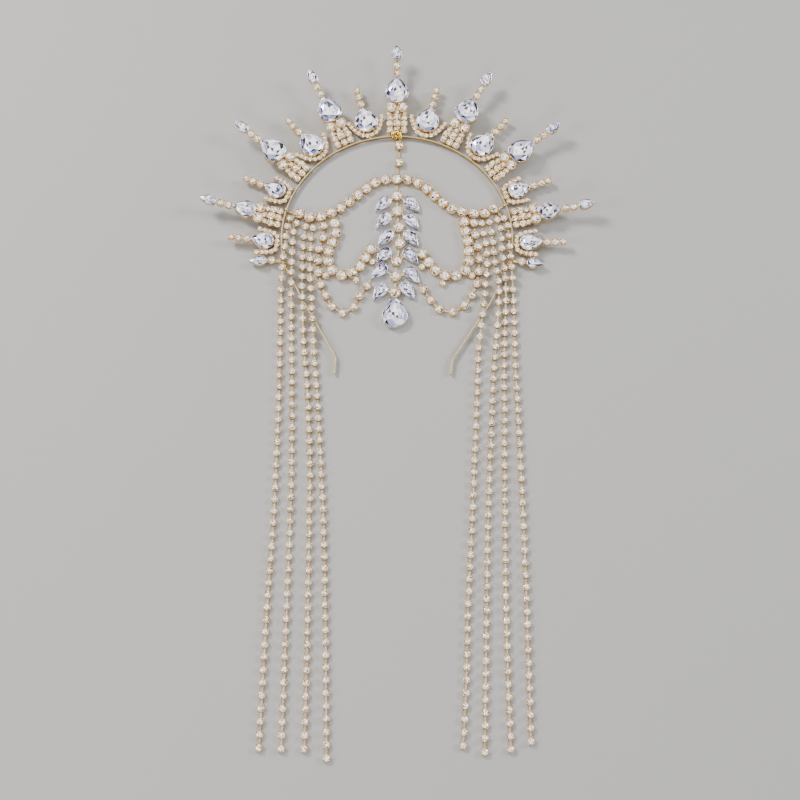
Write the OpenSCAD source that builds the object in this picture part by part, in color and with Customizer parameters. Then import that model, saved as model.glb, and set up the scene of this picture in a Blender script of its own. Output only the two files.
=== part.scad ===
// Rhinestone halo headband with face chains, laid out flat on a surface.
// A strip of gilt metal makes the arch and its two legs. A fan of seventeen jewelled
// spikes stands on the arch. A brow chain, two cheek chains, two swags and a leaf column
// with a drop hang inside it, and eight long strands lie over the legs.
// Millimetres, +Z up, +Y towards the top of the halo. Places are measured from the middle
// of the arch, and the whole model is then moved so that the box it fills is centred.

/* [Headband] */
// Radius of the arch, to the middle of the strip
arch_r = 66.25; // [66:0.25:66.5]
// Angle from the top of the halo to each end of the arch
arch_end = 106; // [105.5:0.5:107]
// Thickness of the strip, seen from above
strip_t = 0.7; // [0.6:0.05:0.8]
// Height of the strip's section
strip_h = 1.8; // [1.5:0.1:1.9]
// Height of the strip above the surface
strip_z = 0.9; // [0.9:0.05:1.1]
// Radius of the wire that ties the chains to the strip
wire_r = 0.3; // [0.2:0.05:0.3]

/* [Spikes] */
// Angle between neighbouring spikes
spike_step = 13.35; // [13.2:0.05:13.5]
// Height of the spikes' backs above the surface
spike_z = 1.2; // [1:0.1:1.5]
// Angle at which the tall spikes rise towards their tips
tall_rise = 9.5; // [4:0.5:12]
// Angle at which the short spikes rise
short_rise = 3; // [1:0.5:6]
// Gap between a spike's foot and the strip
foot_gap = 0.12; // [0.1:0.01:0.2]

/* [Teardrops] */
// Width of a big teardrop's setting
big_w = 13.9; // [13:0.1:14.2]
// Length of a big teardrop's setting
big_l = 16.6; // [16:0.1:17]
// Width of a small teardrop's setting
small_w = 10.6; // [10:0.1:10.8]
// Length of a small teardrop's setting
small_l = 13.2; // [12.6:0.1:13.4]
// Width of a spike's tip setting
tip_w = 6; // [5:0.1:6.4]
// Length of a spike's tip setting
tip_l = 10; // [9:0.1:10]
// Width of a leaf's setting
leaf_w = 7.2; // [6.6:0.1:7.4]
// Length of a leaf's setting
leaf_l = 12.6; // [12:0.1:12.8]
// Width of the drop's setting
drop_w = 14.4; // [13:0.1:15]
// Length of the drop's setting
drop_l = 18.4; // [17:0.1:18.6]

/* [Round stones] */
// Cup of a large round stone, across the outside
large_d = 6.1; // [5.8:0.05:6.15]
// Cup of a swag stone, across the outside
swag_d = 4.9; // [4.4:0.1:5]
// Cup of a stone on a spike, across the outside
spike_d = 4.4; // [4:0.1:4.5]
// Cup of the last stone on a short spike, across the outside
end_d = 3.9; // [3.4:0.1:4]
// Cup of a strand stone, across the outside
strand_d = 3.8; // [3.4:0.1:3.85]
// Cup of the finest stones, round the short spikes
fine_d = 2.7; // [2.4:0.1:2.8]

/* [Chains] */
// Distance between neighbouring strand stones
strand_pitch = 6.5; // [6:0.1:7]
// Width of a chain's links
link_w = 0.9; // [0.6:0.1:1]
// Clearance between a piece and what it hangs on
seat_gap = 0.12; // [0.1:0.01:0.2]

/* [Hidden] */
$fn = 32;
wall = 0.3;
tray_wall = 0.4;
stone_gap = 0.1;
pear_gap = 0.14;
cup_floor = 0.6;
seat_depth = 0.45;
girdle_depth = 0.15;
cup_bevel_w = 0.25;
cup_bevel_h = 0.35;
tray_floor = 0.8;
bar_z = 0.08;
bar_h = 0.44;
bar_w = 1;
spine_w = 1.4;
link_z = 0.3;
link_h = 0.6;
link_sunk = 0.25;
loop_r = 1.1;
loop_reach = 1.15;
prong_r = 0.38;
prong_rise = 0.5;
crown_sunk = 0.1;
table_part = 0.62;
fine_table_part = 0.55;
upper_d = swag_d + 0.7;
festoon_d = fine_d + 0.12;
foot_r = arch_r + strip_t / 2;
strip_top = strip_z + strip_h;

// Sharpness of each pear outline: more is more pointed
tear_point = 0.8;
tip_point = 1;
leaf_point = 1.1;

// Sides of the large and of the small pear outlines, and the corners that bear claws
large_n = 16;
small_n = 14;
large_claws = [2, 5, 8, 11, 14];
small_claws = [4, 10];

// Forms of spike, by name
TALL_TOP = 0;
TALL_BIG = 1;
TALL_SMALL = 2;
SHORT_BIG = 3;
SHORT_SMALL = 4;
MINI = 5;

// Columns of the table of forms: the teardrop's size and its middle above the strip, the
// round stones up the spine as [height, cup], and the middle of the tip stone
TEAR_W = 0;
TEAR_L = 1;
TEAR_U = 2;
ROUNDS = 3;
TIP_U = 4;
FORMS = [
    [big_w, big_l, 28.2, [[39.5, spike_d], [44.2, spike_d]], 52.3],
    [big_w, big_l, 24.8, [[35.8, spike_d], [40.4, spike_d]], 48],
    [small_w, small_l, 22.8, [[31.9, spike_d], [36.6, spike_d]], 44.3],
    [big_w, big_l, 12, [[23, spike_d], [28, spike_d], [32.6, end_d]], 0],
    [small_w, small_l, 10.5, [[19.4, spike_d], [24.1, spike_d], [28.5, end_d]], 0],
    [0, 0, 0, [[6.2, spike_d]], 13.9]
];

// The spikes of a side from the top down: place on the arch in steps, turn away from the
// arch's own radius on the left and on the right, rise and form
STEP = 0;
LEFT_TURN = 1;
RIGHT_TURN = 2;
RISE = 3;
FORM = 4;
SIDE_SPIKES = [
    [1, 2, 1.5, short_rise, SHORT_BIG],
    [2, -1, 3, tall_rise, TALL_BIG],
    [3, 1, 1, short_rise, SHORT_BIG],
    [4, -0.5, 0.8, tall_rise, TALL_BIG],
    [5, 1, 4, short_rise, SHORT_SMALL],
    [6, -1.8, 2, tall_rise, TALL_SMALL],
    [7, -9, -2.5, short_rise * 2, SHORT_SMALL],
    [7.69, -9, -2, short_rise, MINI]
];
CENTRE_SPIKE = [0, 0, 0, tall_rise, TALL_TOP];

// Small stones in the foot of a tall spike: height, distance to the side and cup
CLUSTER = [
    [2.6, 0, 3.9], [2.6, 4.2, 3.9],
    [6.9, 0, 4.5], [6.5, 4.4, 3.9],
    [10.9, 0, 3], [9.9, 4.1, 2.9]
];
CLUSTER_TOP = [
    [3.4, 0, 3.9], [3.4, 4.2, 3.9],
    [7.6, 0, 4.3], [7.4, 4.3, 3.9],
    [11.8, 0, 3.9], [11, 4.3, 3.3],
    [14.9, 0, 2.4], [14, 4.7, 2.6]
];
// Height of the two shoulder stones below a tall spike's teardrop, and how far apart
shoulder_u = 14.2;
shoulder_top_u = 17.5;
shoulder_v = 3.3;

// Festoons round the short spikes: half width, height, height of the lowest stone and
// how square the curve is
FESTOON_BIG = [10.2, 10.2, 2.1, 2.5];
FESTOON_SMALL = [7.3, 10.6, 2.1, 6.5];

// Routes of the chains, left to right or top to bottom
BROW = [[-56.4, 15.4], [-50.1, 12.8], [-43.9, 13.4], [-33.4, 18.3], [-22.5, 27.5],
        [-12.3, 35.8], [0, 38], [12.2, 35.6], [22.5, 26.4], [32.9, 17.9], [45.5, 15.3],
        [50.9, 15.7], [56.4, 18.7]];
brow_n = 21;
CHEEK_LEFT = [[-35.6, 9.2], [-35, 3], [-36.8, -2.9], [-38.9, -8.6], [-39.1, -14.6],
              [-37, -20.6], [-30.9, -24], [-24.5, -22], [-20.2, -17.2], [-17.9, -12.6], [-14.8, -7.4]];
CHEEK_RIGHT = [[38.6, 10.1], [39.3, 4], [40.6, -2.2], [41, -8.2], [41, -14.6],
               [39.4, -20.4], [34, -24], [27.6, -24.2], [22.1, -20.9], [18, -15.6], [14.8, -10.4]];
cheek_n = 11;
DANGLES = [5, 7, 9];
SWAG_LEFT = [[-42.2, 7.6], [-42.4, 0.3], [-44.6, -7.5], [-44.9, -15.5], [-44.5, -22.4],
             [-42.9, -30], [-39.5, -37.9], [-35.3, -44.3], [-29.5, -47], [-24.1, -43.3],
             [-21.2, -36.4], [-16.9, -30.4]];
SWAG_RIGHT = [[44.3, 9.4], [45, 1.9], [46.4, -5.8], [46.8, -14.2], [46.5, -22.2],
              [45.1, -30], [41.4, -37.9], [36.5, -44], [30, -46.7], [23.4, -44.2],
              [18.8, -38.7], [15.2, -32.4]];
swag_n = 12;

// Routes of the long strands, from the outer one on the left to the outer one on the right
STRANDS_LEFT = [
    [[-61.8, 12.3], [-63.4, 1], [-64.2, -9], [-64.9, -19], [-65.5, -33], [-65.3, -52],
     [-64.8, -85], [-65, -134], [-65.6, -173], [-67.2, -210], [-69, -284.6]],
    [[-57.6, 9.4], [-59.3, 3], [-59.6, -5], [-59.8, -16], [-59.5, -39], [-58.8, -64],
     [-57.7, -91], [-56.7, -134], [-56.7, -173], [-57.2, -227], [-57.8, -285.1]],
    [[-52.6, 7.2], [-53.4, 0], [-53.8, -12.4], [-53.6, -25], [-52.4, -58], [-51, -76],
     [-49.4, -91], [-46.9, -134], [-46.4, -173], [-46, -227], [-46.2, -285.1]],
    [[-48.2, 6.2], [-49.2, 0], [-49.5, -13], [-49.1, -26], [-48, -39], [-46.9, -58],
     [-45.6, -76], [-44.4, -88], [-41.1, -134], [-38.6, -173], [-36.7, -227], [-35, -289.7]]
];
STRANDS_RIGHT = [
    [[61.8, 12.6], [63.7, 6], [64.2, -3], [64.5, -10], [65, -17], [65.6, -31], [65.8, -44],
     [65.8, -82], [66.1, -96], [67.5, -173], [67.7, -230], [67.6, -281.5]],
    [[57.9, 11.6], [59.4, 6], [59.9, 0], [60, -6.6], [60.2, -12.4], [60.8, -19], [61.4, -26],
     [61.5, -40], [60.6, -53.5], [59.5, -79], [59.1, -96], [57.5, -173], [56.9, -234],
     [57.4, -285.4]],
    [[53.3, 10], [54.6, 2], [55.4, -8], [55.8, -15], [56.6, -22], [57.5, -29], [57.3, -41],
     [56.3, -54.7], [53.8, -81], [52.8, -96], [48.4, -173], [44.3, -286.6]],
    [[49, 9.3], [49.7, 2.2], [51, -4], [51.5, -10], [51.5, -16.4], [51.2, -22.5], [50.4, -28],
     [49.3, -39], [47.5, -52], [44.8, -79], [44.2, -96], [39.8, -173], [37.2, -213],
     [35.6, -252], [33.5, -283.5]]
];
// Brow stone that each strand hangs on, counted from the left
HELD_LEFT = [0, 0, 1, 1];
HELD_RIGHT = [20, 20, 19, 19];
strand_n = 4;

// Round stones of the column above and below the brow chain, and the drop
UPPER = [[1.4, 60.4], [1.2, 49.2]];
COLUMN = [[0.1, 27.1], [0.3, 17], [1, 6.6], [1.8, -3.8], [-0.2, -14.8], [-0.7, -24.5],
          [-1.1, -34.7]];
DROP = [-1.1, -47.2];
brow_mid = 10;

// Pairs of leaves: the column stone that holds them, then the left and the right leaf,
// each with the middle of its round end and its lean
LEAF_STONE = 0;
LEAF_LEFT = 1;
LEAF_RIGHT = 2;
LEAF_X = 0;
LEAF_Y = 1;
LEAF_LEAN = 2;
LEAVES = [
    [0, [-6.4, 23.5, 43], [7.1, 23.5, 41]],
    [1, [-6.3, 12.8, 38], [7.1, 12.8, 36]],
    [2, [-4.9, 1.8, 39], [6.9, 1.8, 37]],
    [4, [-6.2, -9.5, 37], [6.7, -9.5, 37]],
    [5, [-8.4, -19.5, 44], [7.3, -21.6, 36]],
    [6, [-8.2, -32, 34], [4.8, -31.1, 34]]
];

// Legs of the strip from the arch's end to the tip, left and right
LEG_LEFT = [[-51.6, -42.4], [-35, -72], [-33.9, -75], [-34.4, -83.8]];
LEG_RIGHT = [[51.9, -42.4], [32, -73.5], [30.8, -76], [29.9, -84.2]];

// Sleeves that join the legs to the arch: length, thickness, how far they reach past the
// strip's edges, and half the angle between the ends of the strip inside them
sleeve_l = 3.4;
sleeve_t = 1.8;
sleeve_over = 0.06;
sleeve_half = 0.5;

// Heights of a round cup's wall and of the table of the stone in it
function cup_h(d) = 0.7 + 0.33 * d;
function table_z(d) = cup_h(d) + 0.16 * d;

// Heights of a pear tray's wall and of the table of the stone in it
function tray_h(w) = 1.1 + 0.17 * w;
function pear_table_z(w) = tray_h(w) + 0.15 * w;

// Outline of a pear of a width and length, apex towards +Y, about its middle
function pear_peak(m) = 2 * sqrt(1 / (2 + m)) * pow((1 + m) / (2 + m), (1 + m) / 2);
function pear(w, l, m, n) = [
    for (i = [0:n - 1])
        let (t = 360 * i / n)
        [w / 2 * sin(t) * pow(sin(t / 2), m) / pear_peak(m), l / 2 * cos(t)]
];

// Smooth curve through a list of points
function between(a, b, c, d, t) = 0.5 * (2 * b + (c - a) * t + (2 * a - 5 * b + 4 * c - d) * t * t
                                         + (3 * b - a - 3 * c + d) * t * t * t);
function curve(p, steps = 8) = let (e = len(p) - 1) concat(
    [for (i = [0:e - 1], k = [0:steps - 1])
        between(p[max(i - 1, 0)], p[i], p[i + 1], p[min(i + 2, e)], k / steps)],
    [p[e]]
);

// Distance run along a list of points up to each of them
function step_before(p, i) = i < len(p) ? norm(p[i] - p[i - 1]) : 0;
function runs(p) = [for (i = 0, s = 0; i < len(p); i = i + 1, s = s + step_before(p, i)) s];

// Points evenly spaced along a curve
function spaced(p, n) = let (
    r = runs(p),
    xs = [for (i = [0:len(p) - 1]) [r[i], p[i][0]]],
    ys = [for (i = [0:len(p) - 1]) [r[i], p[i][1]]],
    step = r[len(p) - 1] / (n - 1)
) [for (i = [0:n - 1]) [lookup(i * step, xs), lookup(i * step, ys)]];
function count_along(p, pitch) = let (r = runs(p)) round(r[len(p) - 1] / pitch) + 1;

// Distance from a point to a stretch of strip, and to the whole strip
function to_segment(p, a, b) = let (
    d = b - a,
    t = max(0, min(1, (p - a) * d / (d * d)))
) norm(p - a - t * d);
function to_arch(p) = let (a = abs(atan2(p[0], p[1])))
    a <= arch_end ? abs(norm(p) - arch_r) : 1000;
function to_leg(p, leg) = min([for (i = [0:len(leg) - 2]) to_segment(p, leg[i], leg[i + 1])]);
function on_arch(a) = [arch_r * sin(a), arch_r * cos(a)];
leg_left = concat([on_arch(-arch_end - sleeve_half)], LEG_LEFT);
leg_right = concat([on_arch(arch_end + sleeve_half)], LEG_RIGHT);
function to_strip(p) = min(to_arch(p), to_leg(p, leg_left), to_leg(p, leg_right));

// How far a strand stone is lifted where its strand crosses the strip
lift_full = strip_t / 2 + strand_d / 2 + 0.1;
lift_end = 11;
lift_h = strip_top + sleeve_over + seat_gap;
function lift(p) = let (d = to_strip(p))
    d <= lift_full ? lift_h
    : d >= lift_end ? 0
    : lift_h * (1 + cos(180 * (d - lift_full) / (lift_end - lift_full))) / 2;
function lifted(places, i) = [places[i][0], places[i][1], i == 0 ? 0 : lift(places[i])];

// Point at a distance from one place towards another
function towards(a, b, d) = a + (b - a) * d / norm(b - a);

// Outline of a strip of even width along a list of points
function side_point(p, i, w) = let (
    a = p[max(i - 1, 0)],
    b = p[i],
    c = p[min(i + 1, len(p) - 1)],
    d1 = (i > 0 ? b - a : c - b) / norm(i > 0 ? b - a : c - b),
    d2 = (i < len(p) - 1 ? c - b : b - a) / norm(i < len(p) - 1 ? c - b : b - a),
    m = (d1 + d2) / norm(d1 + d2),
    k = 1 / (m * d1)
) b + w / 2 * k * [-m[1], m[0]];
function ribbon(p, w) = concat(
    [for (i = [0:len(p) - 1]) side_point(p, i, w)],
    [for (i = [len(p) - 1:-1:0]) side_point(p, i, -w)]
);

// Festoon of fine stones round a short spike's teardrop
function festoon_curve(f) = [
    for (i = [-24:24])
        let (t = i / 24, v = f[0] * sign(t) * pow(abs(t), 0.6))
        [v, f[2] + f[1] * pow(abs(v) / f[0], f[3])]
];
function festoon(f) = let (c = festoon_curve(f)) spaced(c, count_along(c, fine_d));

// Round parts of each form of spike, as [side, height, cup]
function both_sides(rows) = concat(
    [for (r = rows) [r[1], r[0], r[2]]],
    [for (r = rows) if (r[1] > 0) [-r[1], r[0], r[2]]]
);
function is_tall(form) = form == TALL_TOP || form == TALL_BIG || form == TALL_SMALL;
function is_short(form) = form == SHORT_BIG || form == SHORT_SMALL;
function shoulders(form) = let (u = form == TALL_TOP ? shoulder_top_u : shoulder_u)
    is_tall(form) ? [[shoulder_v, u, large_d], [-shoulder_v, u, large_d]] : [];
function set_rounds(form) = concat([for (r = FORMS[form][ROUNDS]) [0, r[0], r[1]]], shoulders(form));
function cluster(form) = both_sides(form == TALL_TOP ? CLUSTER_TOP : CLUSTER);

// Every spike with its name, its side and its row of the table
side_n = len(SIDE_SPIKES);
SPIKES = concat(
    [["centre", 1, CENTRE_SPIKE]],
    [for (i = [0:side_n - 1]) [str("left_", i + 1), -1, SIDE_SPIKES[i]]],
    [for (i = [0:side_n - 1]) [str("right_", i + 1), 1, SIDE_SPIKES[i]]]
);
JEWELLED = [for (s = SPIKES) if (s[2][FORM] != MINI) s];
TIPPED = [for (s = SPIKES) if (FORMS[s[2][FORM]][TIP_U] > 0) s];
function turn_of(s) = s[2][s[1] < 0 ? LEFT_TURN : RIGHT_TURN];

// Distance from the arch's middle that keeps a leaning spike's foot clear of the strip
function foot_y(s) = foot_r + foot_gap + (bar_z + bar_h) * sin(s[2][RISE])
    + spine_w / 2 * sin(abs(turn_of(s)));

// Place of a tipped spike's point, seen from above
function point_of(s) = let (
    a = s[1] * s[2][STEP] * spike_step,
    b = a + s[1] * turn_of(s),
    run = cos(s[2][RISE]) * (FORMS[s[2][FORM]][TIP_U] + tip_l / 2)
) [foot_y(s) * sin(a) + run * sin(b), foot_y(s) * cos(a) + run * cos(b)];

// Shifts that centre the model: the lowest tall spikes reach furthest to the sides, the
// middle one furthest up, and the inner left strand furthest down
widest = 6;
lowest = STRANDS_LEFT[3][len(STRANDS_LEFT[3]) - 1];
shift_x = -(point_of(SPIKES[widest])[0] + point_of(SPIKES[side_n + widest])[0]) / 2;
shift_y = -(point_of(SPIKES[0])[1] + lowest[1] - strand_d / 2) / 2;

// Places of the chains' stones
brow_at = spaced(curve(BROW), brow_n);
cheek_left_at = spaced(curve(CHEEK_LEFT), cheek_n);
cheek_right_at = spaced(curve(CHEEK_RIGHT), cheek_n);
swag_left_at = spaced(curve(SWAG_LEFT), swag_n);
swag_right_at = spaced(curve(SWAG_RIGHT), swag_n);
function strand_at(route) = let (c = curve(route)) spaced(c, count_along(c, strand_pitch));

// Puts its children where a spike stands: local +Y runs up the spike, +X to its right
module on_spike(s) {
    row = s[2];
    rotate([0, 0, -s[1] * row[STEP] * spike_step])
        translate([0, foot_y(s), spike_z])
            rotate([0, 0, -s[1] * turn_of(s)])
                rotate([row[RISE], 0, 0])
                    children();
}

// Open cup for a loose round stone
module cup(d) {
    r = d / 2;
    h = cup_h(d);
    rotate_extrude()
        polygon([[0, 0], [r - cup_bevel_w, 0], [r, cup_bevel_h], [r, h], [r - wall, h],
                 [r - wall, h - seat_depth], [r / 4, cup_floor], [0, cup_floor]]);
}

// Points of a ring of eight, turned by an angle
function octagon(r, z, turn) = [for (i = [0:7]) [r * cos(i * 45 + turn), r * sin(i * 45 + turn), z]];

// Round cut stone for a cup: table and girdle of 8 sides, triangles between, point below
module round_stone(d) {
    r = d / 2 - wall - stone_gap;
    polyhedron(
        points = concat(
            octagon(r, cup_h(d) - girdle_depth, 0),
            octagon(table_part * r, table_z(d), 22.5),
            [[0, 0, cup_floor + stone_gap]]
        ),
        faces = concat(
            [[for (i = [7:-1:0]) 8 + i]],
            [for (i = [0:7]) [8 + i, 8 + (i + 1) % 8, (i + 1) % 8]],
            [for (i = [0:7]) [8 + i, (i + 1) % 8, i]],
            [for (i = [0:7]) [i, (i + 1) % 8, 16]]
        )
    );
}

// Closed cup of a strand, with the bevel and table of its stone
module closed_cup(d) {
    r = d / 2;
    h = cup_h(d);
    zt = table_z(d);
    rotate_extrude()
        polygon([[0, 0], [r - cup_bevel_w, 0], [r, cup_bevel_h], [r, h], [r - wall, h],
                 [fine_table_part * r, zt], [0, zt]]);
}

// Table and eight facets, cut from crossed slabs with sloping ends
module crown(low_r, high_r, h) {
    intersection_for(k = [0:3])
        rotate([0, 0, k * 45])
            translate([0, low_r, 0])
                rotate([90, 0, 0])
                    linear_extrude(2 * low_r)
                        polygon([[-low_r, 0], [low_r, 0], [high_r, h], [-high_r, h]]);
}

// Closed cup of a fine stone on a spike, with the crown of its stone
module crowned_cup(d) {
    r = d / 2;
    h = cup_h(d);
    rotate_extrude()
        polygon([[0, 0], [r - cup_bevel_w, 0], [r, cup_bevel_h], [r, h], [0, h]]);
    translate([0, 0, h - crown_sunk])
        crown(cos(22.5) * (r - wall), fine_table_part * r, table_z(d) - h + crown_sunk);
}

// Pear tray for a loose stone, apex towards +Y, with claws on its rim
module tray(w, l, m, n, claws) {
    h = tray_h(w);
    difference() {
        linear_extrude(h) polygon(pear(w, l, m, n));
        translate([0, 0, tray_floor])
            linear_extrude(h) polygon(pear(w - 2 * tray_wall, l - 3 * tray_wall, m, n));
    }
    for (k = claws) {
        p = pear(w, l, m, n)[k];
        translate([p[0], p[1], 0.3])
            cylinder(r = prong_r, h = h + prong_rise);
    }
}

// Scale and height of each ring of a pear stone: back, girdle, crown where it has two
// rows of facets, and table
function pear_rings(w, n) = let (zg = tray_h(w) - 0.2, zt = pear_table_z(w)) concat(
    [[0.3, tray_floor + pear_gap], [1, zg]],
    n == large_n ? [[0.84, zg + 0.55 * (zt - zg)]] : [],
    [[0.6, zt]]
);

// Pear stone for a tray: a table, crown facets and a tapering back
module pear_stone(w, l, m, n) {
    sw = w - 2 * (tray_wall + pear_gap);
    sl = l - 3 * (tray_wall + pear_gap);
    rows = pear_rings(w, n);
    top = len(rows) - 1;
    shape = pear(sw, sl, m, n);
    middle = [0, -0.08 * sl];
    polyhedron(
        points = [for (r = rows, p = shape) let (q = middle + r[0] * (p - middle)) [q[0], q[1], r[1]]],
        faces = concat(
            [[for (i = [n - 1:-1:0]) i]],
            [[for (i = [0:n - 1]) top * n + i]],
            [for (k = [0:top - 1], i = [0:n - 1])
                let (j = (i + 1) % n)
                [k * n + i, k * n + j, (k + 1) * n + j, (k + 1) * n + i]]
        )
    );
}

// Straight bar from one place to another, its base at the places' height
module bar(a, b, w, h) {
    d = b - a;
    run = norm([d[0], d[1]]);
    translate(a)
        rotate([0, -atan2(d[2], run), atan2(d[1], d[0])])
            translate([0, -w / 2, 0])
                cube([norm(d), w, h]);
}
function flat(p, z) = [p[0], p[1], z];

// Link between two cups, sunk into the wall of each
module link(a, b, ra, rb) {
    bar(flat(towards(a, b, ra - link_sunk), link_z), flat(towards(b, a, rb - link_sunk), link_z),
        link_w, link_h);
}

// Row of open cups with a link between each two
module cup_row(places, d) {
    for (p = places) translate(p) cup(d);
    for (i = [0:len(places) - 2]) link(places[i], places[i + 1], d / 2, d / 2);
}

// Loop of wire round the strip at an angle from the top
module strip_loop(angle, turns) {
    rotate([0, 0, -angle])
        translate([0, arch_r, strip_z + strip_h / 2])
            rotate([0, 90, 0])
                rotate_extrude()
                    for (k = [0:turns - 1])
                        translate([loop_r + wire_r, (k - (turns - 1) / 2) * 1.7 * wire_r])
                            circle(wire_r, $fn = 24);
}

module headband() {
    color("#e6cf9c") {
        rotate([0, 0, 90 - arch_end + sleeve_half])
            rotate_extrude(angle = 2 * (arch_end - sleeve_half), $fn = 180)
                translate([arch_r - strip_t / 2, strip_z])
                    square([strip_t, strip_h]);
        for (leg = [leg_left, leg_right])
            translate([0, 0, strip_z])
                linear_extrude(strip_h) polygon(ribbon(leg, strip_t));
        for (side = [-1, 1])
            rotate([0, 0, -side * arch_end])
                translate([-sleeve_l / 2, arch_r - sleeve_t / 2, strip_z - sleeve_over])
                    cube([sleeve_l, sleeve_t, strip_h + 2 * sleeve_over]);
    }
}

// Bars that carry the small stones in the foot of a tall spike
module cluster_frame(form) {
    rows = form == TALL_TOP ? CLUSTER_TOP : CLUSTER;
    shoulder = shoulders(form)[0];
    for (r = rows)
        if (r[1] > 0)
            bar([-r[1], r[0], bar_z], [r[1], r[0], bar_z], bar_w, bar_h);
    bar([-shoulder[0], shoulder[1], bar_z], [shoulder[0], shoulder[1], bar_z], bar_w, bar_h);
    for (v = [-rows[1][1], rows[1][1]])
        bar([v, rows[1][0], bar_z], [v, shoulder[1], bar_z], bar_w, bar_h);
}

// Metal of one spike: back bar, trays, cups and the small stones' closed cups
module spike(s) {
    form = s[2][FORM];
    f = FORMS[form];
    rounds = f[ROUNDS];
    end_u = f[TIP_U] > 0 ? f[TIP_U] : rounds[len(rounds) - 1][0];
    color("#f0d9a4")
        on_spike(s) {
            bar([0, 0, bar_z], [0, end_u, bar_z], spine_w, bar_h);
            if (f[TEAR_W] > 0)
                translate([0, f[TEAR_U]])
                    tray(f[TEAR_W], f[TEAR_L], tear_point, large_n, large_claws);
            if (f[TIP_U] > 0)
                translate([0, f[TIP_U]])
                    tray(tip_w, tip_l, tip_point, small_n, small_claws);
            for (c = set_rounds(form))
                translate([c[0], c[1]]) cup(c[2]);
            if (is_tall(form)) {
                cluster_frame(form);
                for (c = cluster(form))
                    translate([c[0], c[1]]) crowned_cup(c[2]);
            }
            if (is_short(form))
                for (p = festoon(form == SHORT_BIG ? FESTOON_BIG : FESTOON_SMALL))
                    translate(p) crowned_cup(festoon_d);
        }
}

module teardrop(s) {
    f = FORMS[s[2][FORM]];
    color("#e4e2f2")
        on_spike(s)
            translate([0, f[TEAR_U]])
                pear_stone(f[TEAR_W], f[TEAR_L], tear_point, large_n);
}

module spike_tip_stones() {
    color("#dcd8ea")
        for (s = TIPPED)
            on_spike(s)
                translate([0, FORMS[s[2][FORM]][TIP_U]])
                    pear_stone(tip_w, tip_l, tip_point, small_n);
}

module spike_round_stones() {
    color("#fbeede")
        for (s = SPIKES)
            on_spike(s)
                for (c = set_rounds(s[2][FORM]))
                    translate([c[0], c[1]]) round_stone(c[2]);
}

module stones_at(places, d) {
    color("#fbeede")
        for (p = places) translate(p) round_stone(d);
}

// Brow chain, tied to the strip by a loop of wire at each end
module brow_chain() {
    color("#ecd7a6") {
        cup_row(brow_at, large_d);
        for (p = [brow_at[0], brow_at[brow_n - 1]]) {
            angle = atan2(p[0], p[1]);
            strip_loop(angle, 2);
            link(p, arch_r * [sin(angle), cos(angle)], large_d / 2, loop_reach);
        }
    }
}

// Place of a side stone on the outer side of a chain, next to one of its stones
function dangle_at(places, k, side) = let (
    t = places[k + 1] - places[k - 1],
    n = side * [t[1], -t[0]] / norm(t)
) places[k] + n * (large_d / 2 + strand_d / 2 - 0.2);

// Cheek chain with three side stones, from the brow chain to a leaf of the column
module cheek_chain(places, held_by, leaf, side) {
    color("#ecd7a6") {
        cup_row(places, large_d);
        link(places[0], held_by, large_d / 2, large_d / 2 + seat_gap + link_sunk);
        link(places[cheek_n - 1], leaf, large_d / 2, leaf_w / 2 + seat_gap + 1.3);
        for (k = DANGLES) {
            p = dangle_at(places, k, side);
            translate(p) closed_cup(strand_d);
            link(places[k], p, large_d / 2, strand_d / 2);
        }
    }
}

// Swag of spaced stones, from the brow chain to the tip of a leaf
module swag_chain(places, held_by, leaf_tip) {
    color("#e6cb8e") {
        cup_row(places, swag_d);
        link(places[0], held_by, swag_d / 2, large_d / 2 + seat_gap + link_sunk);
        link(places[swag_n - 1], leaf_tip, swag_d / 2, seat_gap + 0.45);
    }
}

function leaf_of(row, side) = row[side < 0 ? LEAF_LEFT : LEAF_RIGHT];
function leaf_lean(row, side) = side * leaf_of(row, side)[LEAF_LEAN];
function leaf_place(row, side) = [leaf_of(row, side)[LEAF_X], leaf_of(row, side)[LEAF_Y]];
function leaf_dir(row, side) = [sin(leaf_lean(row, side)), -cos(leaf_lean(row, side))];
function leaf_tip(row, side) = leaf_place(row, side) + leaf_dir(row, side) * (leaf_l - leaf_w / 2);

// Puts its children at the middle of a leaf, local +Y towards its tip
module on_leaf(row, side) {
    p = leaf_place(row, side) + leaf_dir(row, side) * (leaf_l / 2 - leaf_w / 2);
    translate(p)
        rotate([0, 0, 180 + leaf_lean(row, side)])
            children();
}

// Two stones on long links between the top of the arch and the brow chain
module upper_chain() {
    color("#e6cb8e") {
        strip_loop(atan2(1.75, arch_r), 3);
        cup_row(UPPER, upper_d);
        link(UPPER[0], [1.75, arch_r], upper_d / 2, loop_reach);
        link(UPPER[1], brow_at[brow_mid], upper_d / 2, large_d / 2 + seat_gap + link_sunk);
    }
}

// Column of cups with its leaves' trays and the drop's tray
module centre_column() {
    color("#e2d6b8") {
        cup_row(COLUMN, large_d);
        link(COLUMN[0], brow_at[brow_mid], large_d / 2, large_d / 2 + seat_gap + link_sunk);
        link(COLUMN[6], DROP, large_d / 2, drop_l / 2 - 0.8);
        translate(DROP) tray(drop_w, drop_l, tear_point, large_n, large_claws);
        for (row = LEAVES, side = [-1, 1]) {
            on_leaf(row, side) tray(leaf_w, leaf_l, leaf_point, small_n, small_claws);
            link(COLUMN[row[LEAF_STONE]], leaf_place(row, side), large_d / 2, leaf_w / 2);
        }
    }
}

module leaf_stones(side) {
    color("#d2cddd")
        for (row = LEAVES)
            on_leaf(row, side) pear_stone(leaf_w, leaf_l, leaf_point, small_n);
}

module drop_stone() {
    color("#e4e2f2")
        translate(DROP) pear_stone(drop_w, drop_l, tear_point, large_n);
}

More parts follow.
